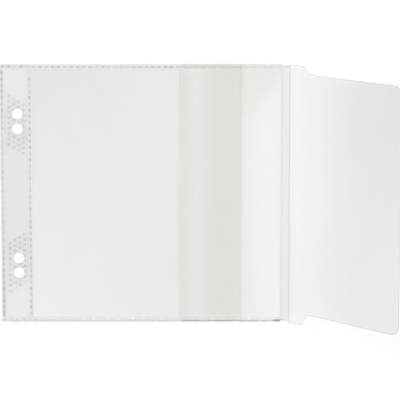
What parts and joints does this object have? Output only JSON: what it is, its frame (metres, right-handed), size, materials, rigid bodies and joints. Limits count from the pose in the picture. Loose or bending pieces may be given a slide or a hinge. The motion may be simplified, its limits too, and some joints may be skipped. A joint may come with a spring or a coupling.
{
  "type": "cd sleeve",
  "caption": "Clear film filing sleeve for one disc, with a punched binding margin, a side-opening pocket with a turned-in hem and a tuck-in flap on a creased spine.",
  "frame": {"origin": "middle of the back of the sleeve, between its outer edge and its spine crease, on the face it lies on", "axes": "+X from the punched margin towards the flap, +Y along the spine, +Z out of the front film"},
  "size_m": [0.1939, 0.1296, 0.0655],
  "materials": {
    "clear_film": "clear, slightly hazy polypropylene film",
    "weld": "pressed and fused film, frosted by the welding tool",
    "crease": "pressed fold line in the film"
  },
  "bodies": {
    "sleeve": {"pocket_back_film": "clear_film", "front_film": "clear_film", "front_top_slope": "clear_film", "front_bottom_slope": "clear_film", "front_inner_slope": "clear_film", "mouth_hem": "clear_film", "margin_back_film": "clear_film", "margin_front_film": "clear_film", "outer_edge_weld": "weld", "pocket_weld": "weld", "top_weld": "weld", "bottom_weld": "weld", "upper_hole_weld": "weld", "lower_hole_weld": "weld", "spine_crease": "crease"},
    "spine": {"spine_film": "clear_film", "flap_crease": "crease"},
    "flap": {"flap_film": "clear_film"}
  },
  "joints": [
    {"name": "spine_fold", "type": "hinge", "parent": "sleeve", "child": "spine", "pos_m": [0.06975, 0, 0.00015], "axis": [0, -1, 0], "range_deg": [-30, 60]},
    {"name": "flap_fold", "type": "hinge", "parent": "spine", "child": "flap", "pos_m": [0.07386, 0, 0.00252], "axis": [0, -1, 0], "range_deg": [-21.5, 68.5]}
  ]
}
